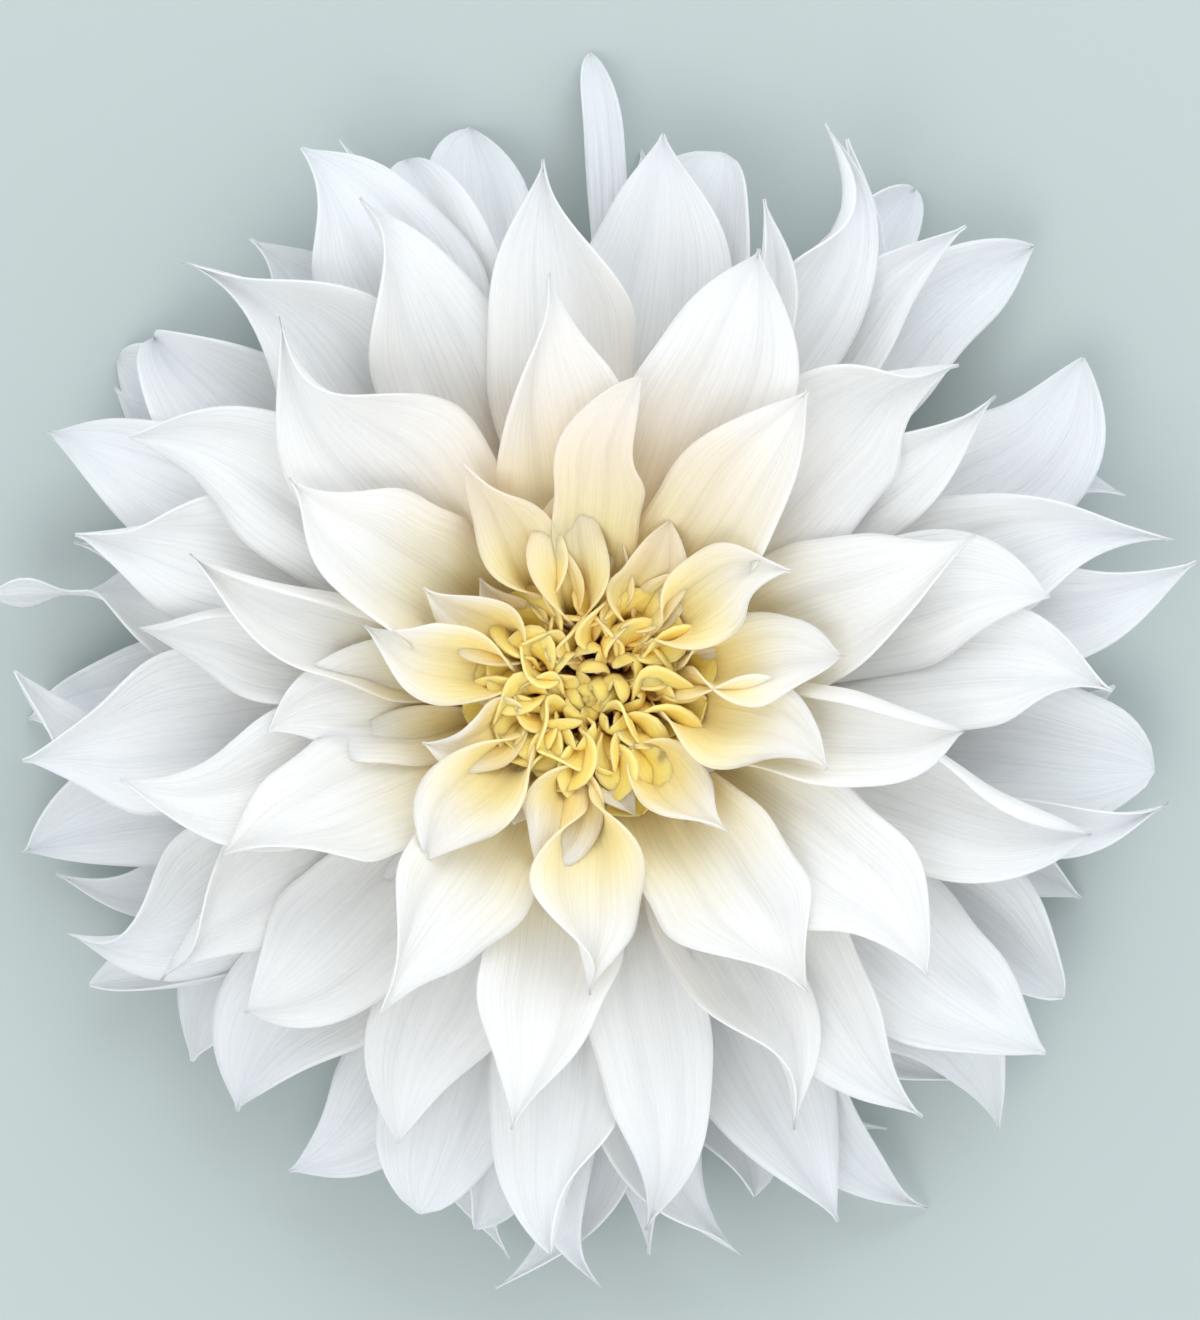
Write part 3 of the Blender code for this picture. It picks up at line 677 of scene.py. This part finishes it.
def makeBack():
    for number in range(backMake["bractCount"]):
        azimuth = backMake["firstBract"] + 360 / backMake["bractCount"] * number
        p = {**plainPetal, **bractForm, "azimuth": azimuth, "phase": backMake["phaseStep"] * number}
        points = petalSurface(p, math.radians(p["lift"]), 0.0, 30, 15) + hubCentre
        addPiece(f"outerBract{number + 1}", [points], bractGreen, backMake["bractThickness"],
                 [f"outer_bract_{number + 1}"])

    # Cup: a shallow cone whose rim falls back between lobes by half of one minus the cosine of the turn.
    turn = np.radians(np.arange(0.0, 360.0, 2.5))[None, :]
    share = np.linspace(0.0, 1.0, 12)[:, None]
    seat = math.radians(backMake["cupSeat"])
    root = hubRadius + petalMake["gap"] * mm
    lobes = 0.5 - 0.5 * np.cos(turn * backMake["cupLobes"])
    rim = (backMake["cupReach"] - backMake["cupLobeDepth"] * lobes) * mm
    out = root * math.cos(seat) + (rim - root * math.cos(seat)) * share
    up = root * math.sin(seat) + (out - root * math.cos(seat)) * math.tan(math.radians(backMake["cupSlope"]))
    up = up + 0.5 * mm * share * np.cos(turn * backMake["cupLobes"] * 3)
    cup = np.stack([out * np.cos(turn), out * np.sin(turn), up], axis=-1) + hubCentre
    addPiece("innerBractCup", [cup], bractGreen, backMake["cupThickness"], ["inner_bract_cup"],
             wrapped=True)

    # Stem and receptacle: a ball on a neck that eases into the stem, turned round the axis, with shallow
    # lengthwise ribs and a flat cut end.
    sweep = np.radians(np.linspace(90.0, backMake["underside"], 26))
    ball = np.stack([hubRadius * np.cos(sweep), hubRadius * np.sin(sweep)], axis=-1)
    share = np.linspace(0.0, 1.0, 9)[1:]
    ease = 1 - (1 - share) ** 2
    neckRadius = ball[-1, 0] + (backMake["stemRadius"] * mm - ball[-1, 0]) * ease
    neck = np.stack([neckRadius, ball[-1, 1] - share * backMake["neck"] * mm], axis=-1)
    foot = np.array([[1.0, 0.96], [1.0, 1.0], [0.94, 1.0], [0.5, 1.0], [0.0, 1.0]])
    foot = foot * [backMake["stemRadius"] * mm, -hubCentre[2]]
    outline = np.concatenate([ball, neck, foot])
    turn = np.linspace(0.0, 2 * math.pi, 97)[None, :-1]
    ribs = 1 + 0.025 * np.cos(turn * 9) * smooth(0.0, -0.012, outline[:, 1:2])
    radius = outline[:, 0:1] * ribs
    height = np.repeat(outline[:, 1:2], turn.shape[1], axis=1)
    stem = np.stack([radius * np.cos(turn), radius * np.sin(turn), height], axis=-1) + hubCentre
    made = addPiece("stemWithReceptacle", [stem[::-1]], stemGreen, 0, ["stem_with_receptacle"],
                    wrapped=True)
    weld = made.modifiers.new("poles", "WELD")
    weld.merge_threshold = 0.00001
    print("bracts, cup and stem")


makeBack()

# Lengths in metres, but the aim in mm from the hub, and the sensor width in mm.
stageMake = {"floorSize": 12.0, "floorDrop": 0.0005, "floor": (0.47, 0.53, 0.52),
             "distance": 0.95, "cameraRise": 0.02, "frameHeight": 0.260, "sensor": 36.0,
             "aimX": 2.0, "aimY": 6.0, "world": 0.92, "worldColour": (0.93, 0.96, 1.0, 1.0),
             "key": {"place": (-0.25, -0.45, 1.15), "size": 0.6, "power": 3.9, "colour": (1.0, 0.985, 0.96)},
             "fill": {"place": (0.35, 0.8, 1.0), "size": 0.8, "power": 5.6, "colour": (0.95, 0.97, 1.0)}}


def lamp(name, make):
    # A square soft light that looks at the flower.
    light = bpy.data.lights.new(name, "AREA")
    light.shape = "SQUARE"
    light.size = make["size"]
    light.energy = make["power"]
    light.color = make["colour"]
    made = bpy.data.objects.new(name, light)
    made.location = make["place"]
    made.rotation_euler = (-mathutils.Vector(make["place"])).to_track_quat("-Z", "Y").to_euler()
    bpy.context.scene.collection.objects.link(made)


def makeStage():
    bpy.ops.mesh.primitive_plane_add(size=stageMake["floorSize"], location=(0, 0, -stageMake["floorDrop"]))
    floor = bpy.context.object
    floor.name = "floor"
    surface, tree, shader = newFinish("floorFinish", 0.8, 0.0, (1, 1, 1))
    shader.inputs["Base Color"].default_value = (*stageMake["floor"], 1.0)
    floor.data.materials.append(surface)

    world = bpy.data.worlds.new("studio")
    world.use_nodes = True
    world.node_tree.nodes["Background"].inputs[0].default_value = stageMake["worldColour"]
    world.node_tree.nodes["Background"].inputs[1].default_value = stageMake["world"]
    bpy.context.scene.world = world
    bpy.context.scene.view_settings.view_transform = "Standard"

    lamp("keyLight", stageMake["key"])
    lamp("fillLight", stageMake["fill"])

    camera = bpy.data.cameras.new("camera")
    camera.sensor_width = stageMake["sensor"]
    camera.lens = stageMake["sensor"] * stageMake["distance"] / stageMake["frameHeight"]
    camera.clip_end = 20.0
    made = bpy.data.objects.new("camera", camera)
    made.location = (hubCentre[0] + stageMake["aimX"] * mm, hubCentre[1] + stageMake["aimY"] * mm,
                     stageMake["distance"] + stageMake["cameraRise"])
    bpy.context.scene.collection.objects.link(made)
    bpy.context.scene.camera = made


makeStage()
